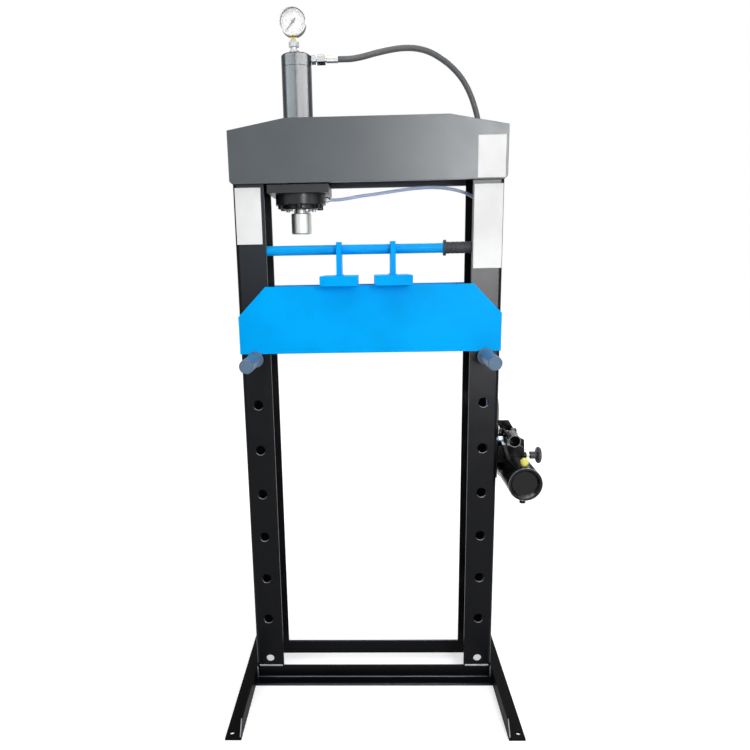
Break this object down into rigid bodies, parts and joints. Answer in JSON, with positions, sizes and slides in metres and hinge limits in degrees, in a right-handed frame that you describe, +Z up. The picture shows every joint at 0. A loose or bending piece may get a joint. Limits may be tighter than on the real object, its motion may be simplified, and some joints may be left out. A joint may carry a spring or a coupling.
{
  "type": "hydraulic workshop press",
  "caption": "Floor standing H-frame shop press with sliding hydraulic cylinder, hand pump, pressure gauge, pinned blue bed, press plates and stored pump lever",
  "frame": {"origin": "on the floor, midway between the two posts and midway between the anchor holes", "axes": "+X to the pump side, +Y from the front to the back, +Z up"},
  "size_m": [0.811, 0.65, 1.7215],
  "materials": {
    "frame_paint": "satin",
    "beam_paint": "satin",
    "bed_paint": "semi gloss",
    "cylinder_paint": "gloss",
    "pump_paint": "semi gloss",
    "ground_steel": "ground",
    "zinc_steel": "zinc plated",
    "pin_steel": "worn",
    "nickel": "nickel plated",
    "black_oxide": "black oxide",
    "bezel_chrome": "polished",
    "brass": "turned",
    "grip_rubber": "matt",
    "hose_rubber": "matt",
    "seal_rubber": "matt",
    "tube_plastic": "translucent",
    "knob_plastic": "moulded",
    "filler_plastic": "moulded",
    "gauge_black": "satin",
    "dial_white": "matt",
    "gauge_glass": "clear",
    "needle_black": "matt"
  },
  "bodies": {
    "frame": {"post_left": "frame_paint", "post_right": "frame_paint", "cross_front": "frame_paint", "cross_rear": "frame_paint", "foot_left": "frame_paint", "foot_right": "frame_paint", "beam_front_plate": "beam_paint", "beam_rear_plate": "beam_paint", "beam_rails": "frame_paint", "bed_front_plate": "bed_paint", "bed_rear_plate": "bed_paint", "bed_spacers": "bed_paint", "press_plate_left": "bed_paint", "press_plate_right": "bed_paint", "lever_tube": "bed_paint", "lever_grip": "grip_rubber", "pressure_hose": "hose_rubber", "hose_end_pump": "nickel", "return_tube": "tube_plastic", "return_elbow": "nickel", "pump_bracket": "pump_paint", "pump_fasteners": "zinc_steel", "pump_body": "pump_paint", "plunger_gland": "zinc_steel", "lever_pivot_pin": "zinc_steel", "reservoir_tube": "pump_paint", "reservoir_cap": "pump_paint", "filler_plug": "filler_plastic", "drain_plug": "black_oxide", "outlet_elbow": "zinc_steel"},
    "carriage": {"carriage_plate": "beam_paint", "carriage_hooks": "frame_paint", "cylinder_tube": "cylinder_paint", "cylinder_cap": "cylinder_paint", "gland_flange": "pump_paint", "gland_bolts": "black_oxide", "cover_screws": "zinc_steel", "guide_bush": "brass", "rod_wiper": "seal_rubber", "hose_adapter": "zinc_steel", "hose_end_cylinder": "nickel", "return_nipple": "nickel", "gauge_adapter": "zinc_steel", "gauge_stem": "brass", "gauge_case": "gauge_black", "gauge_bezel": "bezel_chrome", "gauge_dial": "dial_white", "gauge_lens": "gauge_glass"},
    "ram": {"ram_rod": "ground_steel", "ram_piston": "ground_steel", "piston_seal": "seal_rubber", "ram_head": "ground_steel", "return_spring": "zinc_steel"},
    "gauge_pointer": {"gauge_needle": "needle_black"},
    "socket": {"lever_socket": "pump_paint"},
    "plunger": {"pump_plunger": "ground_steel"},
    "release": {"release_spindle": "ground_steel", "release_knob": "knob_plastic"},
    "pin_left": {"bed_pin_left": "pin_steel"},
    "pin_right": {"bed_pin_right": "pin_steel"}
  },
  "joints": [
    {"name": "cylinder_slide", "type": "slide", "parent": "frame", "child": "carriage", "axis": [1, 0, 0], "range_m": [-0.008, 0.343], "deforming": ["pressure_hose", "return_tube"]},
    {"name": "ram_slide", "type": "slide", "parent": "carriage", "child": "ram", "axis": [0, 0, -1], "range_m": [0, 0.16], "stiffness_N_per_m": 600, "springref_m": -0.2, "deforming": ["return_spring"]},
    {"name": "gauge_needle", "type": "hinge", "parent": "carriage", "child": "gauge_pointer", "pos_m": [-0.172, 0, 1.69], "axis": [0, 1, 0], "range_deg": [0, 270]},
    {"name": "pump_lever", "type": "hinge", "parent": "frame", "child": "socket", "pos_m": [0.363, 0, 0.687], "axis": [-1, 0, 0], "range_deg": [0, 35]},
    {"name": "plunger_slide", "type": "slide", "parent": "frame", "child": "plunger", "axis": [0, 0, 1], "range_m": [0, 0.0136]},
    {"name": "release_turn", "type": "hinge", "parent": "frame", "child": "release", "pos_m": [0.405, -0.025, 0.631], "axis": [1, 0, 0], "range_deg": [0, 360]},
    {"name": "pin_left_pull", "type": "slide", "parent": "frame", "child": "pin_left", "axis": [0, -1, 0], "range_m": [0, 0.18]},
    {"name": "pin_right_pull", "type": "slide", "parent": "frame", "child": "pin_right", "axis": [0, -1, 0], "range_m": [0, 0.18]}
  ],
  "couplings": [
    {"joint": "plunger_slide", "follows": "pump_lever", "m_per_rad": 0.0221}
  ]
}
